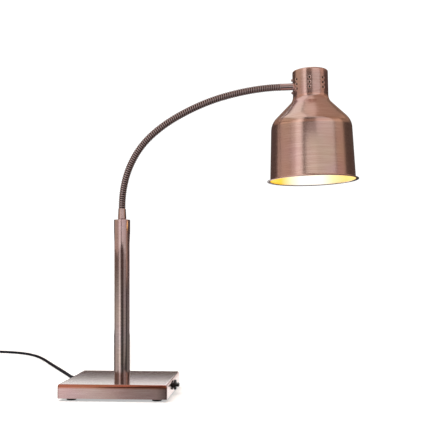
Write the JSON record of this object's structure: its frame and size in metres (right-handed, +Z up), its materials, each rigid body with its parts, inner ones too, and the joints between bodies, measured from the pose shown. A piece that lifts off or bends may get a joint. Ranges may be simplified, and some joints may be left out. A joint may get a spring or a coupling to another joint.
{
  "type": "heat lamp warmer",
  "caption": "Free-standing food heat lamp: weighted square base, column, flexible arm that bends and leans, bell shade with infrared lamp, dimmer knob, mains lead.",
  "frame": {"origin": "on the floor, on the column's axis, in the middle of the four feet", "axes": "+Z up along the column; the arm reaches towards +X; the mains lead leaves the back at +Y"},
  "size_m": [1.1061, 0.8171, 0.616],
  "materials": {
    "copper_sheet": "brushed antique copper plating",
    "copper_shade": "spun and brushed, copper coloured",
    "arm_copper": "antique copper plated wound hose",
    "zinc_steel": "zinc plated",
    "ballast_steel": "black oxide plate",
    "foot_rubber": "moulded rubber",
    "black_plastic": "moulded",
    "holder_ceramic": "glazed porcelain",
    "bulb_glass": "lit reflector glass",
    "cap_brass": "screw shell",
    "cord_sheath": "matt extruded sheath",
    "plug_black": "moulded",
    "pin_nickel": "nickel plated"
  },
  "bodies": {
    "stand": {"base_cover": "copper_sheet", "base_plate": "zinc_steel", "ballast": "ballast_steel", "plate_screws": "zinc_steel", "rubber_feet": "foot_rubber", "foot_screws": "zinc_steel", "foot_nuts": "zinc_steel", "column_tube": "copper_sheet", "column_foot": "zinc_steel", "column_stud": "zinc_steel", "stud_nut": "zinc_steel", "column_cap": "copper_sheet", "lower_ferrule": "copper_sheet", "column_lead": "cord_sheath", "terminal_block": "holder_ceramic", "dimmer_body": "black_plastic", "dimmer_nut": "zinc_steel", "cable_gland": "plug_black", "gland_nut": "plug_black", "cord_lead": "cord_sheath", "cord_coil": "cord_sheath", "cord_tail": "cord_sheath", "cord_tie": "plug_black", "plug_body": "plug_black", "plug_pins": "pin_nickel", "plug_earth": "pin_nickel"},
    "knob": {"dimmer_shaft": "zinc_steel", "dimmer_knob": "black_plastic"},
    "link_1": {"arm_link_1": "arm_copper"},
    "link_2": {"arm_link_2": "arm_copper"},
    "link_3": {"arm_link_3": "arm_copper"},
    "link_4": {"arm_link_4": "arm_copper"},
    "link_5": {"arm_link_5": "arm_copper"},
    "link_6": {"arm_link_6": "arm_copper"},
    "link_7": {"arm_link_7": "arm_copper"},
    "link_8": {"arm_link_8": "arm_copper"},
    "head": {"upper_rod": "copper_sheet", "rod_nut": "zinc_steel", "lamp_shade": "copper_shade", "holder_bracket": "zinc_steel", "bracket_screws": "copper_sheet", "bracket_nuts": "zinc_steel", "lamp_holder": "holder_ceramic", "holder_screw": "zinc_steel", "holder_contact": "cap_brass", "bulb_cap": "cap_brass", "bulb_glass": "bulb_glass"}
  },
  "joints": [
    {"name": "dimmer_turn", "type": "hinge", "parent": "stand", "child": "knob", "pos_m": [0.1, 0, 0.018], "axis": [1, 0, 0], "range_deg": [-225, 45]},
    {"name": "arm_lean", "type": "hinge", "parent": "stand", "child": "link_1", "pos_m": [0, 0, 0.3595], "axis": [1, 0, 0], "range_deg": [-12, 12]},
    {"name": "arm_bend_low", "type": "hinge", "parent": "link_1", "child": "link_2", "pos_m": [0.00636, 0, 0.41128], "axis": [0, 1, 0], "range_deg": [-14, 8]},
    {"name": "arm_bend_low_2", "type": "hinge", "parent": "link_2", "child": "link_3", "pos_m": [0.0263, 0, 0.45942], "axis": [0, 1, 0], "range_deg": [-14, 8]},
    {"name": "arm_bend_low_3", "type": "hinge", "parent": "link_3", "child": "link_4", "pos_m": [0.05978, 0, 0.49932], "axis": [0, 1, 0], "range_deg": [-14, 8]},
    {"name": "arm_lean_2", "type": "hinge", "parent": "link_4", "child": "link_5", "pos_m": [0.10229, 0, 0.52965], "axis": [0.5, 0, -0.866], "range_deg": [-12, 12]},
    {"name": "arm_bend_high", "type": "hinge", "parent": "link_5", "child": "link_6", "pos_m": [0.14907, 0, 0.55297], "axis": [0, 1, 0], "range_deg": [-8, 12]},
    {"name": "arm_bend_high_2", "type": "hinge", "parent": "link_6", "child": "link_7", "pos_m": [0.19848, 0, 0.56998], "axis": [0, 1, 0], "range_deg": [-8, 12]},
    {"name": "arm_lean_3", "type": "hinge", "parent": "link_7", "child": "link_8", "pos_m": [0.24961, 0, 0.58085], "axis": [0.1564, 0, -0.9877], "range_deg": [-12, 12]},
    {"name": "arm_bend_high_3", "type": "hinge", "parent": "link_8", "child": "head", "pos_m": [0.30166, 0, 0.58563], "axis": [0, 1, 0], "range_deg": [-8, 12]}
  ],
  "couplings": [
    {"joint": "arm_bend_low_2", "follows": "arm_bend_low", "ratio": 1},
    {"joint": "arm_bend_low_3", "follows": "arm_bend_low", "ratio": 1},
    {"joint": "arm_lean_2", "follows": "arm_lean", "ratio": 1},
    {"joint": "arm_bend_high_2", "follows": "arm_bend_high", "ratio": 1},
    {"joint": "arm_lean_3", "follows": "arm_lean", "ratio": 1},
    {"joint": "arm_bend_high_3", "follows": "arm_bend_high", "ratio": 1}
  ]
}
